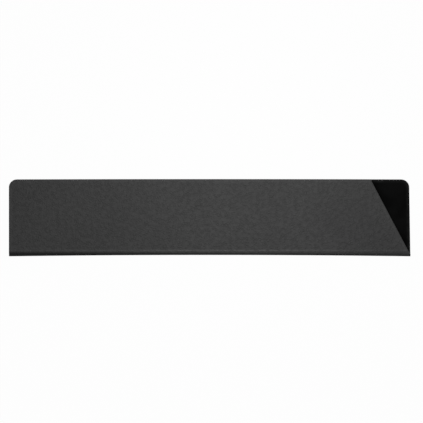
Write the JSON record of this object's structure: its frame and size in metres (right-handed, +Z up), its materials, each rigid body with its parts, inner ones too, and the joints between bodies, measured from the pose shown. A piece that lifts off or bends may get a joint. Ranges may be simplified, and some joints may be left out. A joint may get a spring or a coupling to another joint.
{
  "type": "knife blade guard",
  "caption": "Folding blade guard for a slicing knife: a grained dark plastic sheet folded along two creases, flocked inside, with magnets in both leaves and a slanted mouth.",
  "frame": {"origin": "middle of the closed guard's footprint, on the resting face of the back leaf", "axes": "+X along the length from the tip end to the mouth end, +Y from the fold to the open edge, +Z up through the layers from the back leaf to the front leaf"},
  "size_m": [0.26, 0.05, 0.0054],
  "materials": {
    "cover_sheet": "dark grey polypropylene sheet with a fine moulded leather grain, satin",
    "flock_lining": "near-black flock, soft and matt, paler where the pile rolls over an edge",
    "carrier_sheet": "black foam rubber sheet, die-cut",
    "magnet": "nickel-plated magnet bar"
  },
  "bodies": {
    "back_leaf": {"back_panel": "cover_sheet", "back_carrier": "carrier_sheet", "back_lining": "flock_lining", "back_magnet_1": "magnet", "back_magnet_2": "magnet", "back_magnet_3": "magnet", "back_magnet_4": "magnet", "back_magnet_5": "magnet", "back_magnet_6": "magnet", "back_crease_web": "cover_sheet"},
    "spine": {"spine_strip": "cover_sheet", "spine_lining": "flock_lining", "front_crease_web": "cover_sheet"},
    "front_leaf": {"front_panel": "cover_sheet", "front_carrier": "carrier_sheet", "front_lining": "flock_lining", "front_magnet_1": "magnet", "front_magnet_2": "magnet", "front_magnet_3": "magnet", "front_magnet_4": "magnet", "front_magnet_5": "magnet", "front_magnet_6": "magnet"}
  },
  "joints": [
    {"name": "back_crease", "type": "hinge", "parent": "back_leaf", "child": "spine", "pos_m": [0, -0.02325, 0.0009], "axis": [1, 0, 0], "range_deg": [0, 90], "deforming": ["back_crease_web"]},
    {"name": "front_crease", "type": "hinge", "parent": "spine", "child": "front_leaf", "pos_m": [0, -0.02325, 0.0045], "axis": [1, 0, 0], "range_deg": [0, 90], "deforming": ["front_crease_web"]}
  ]
}
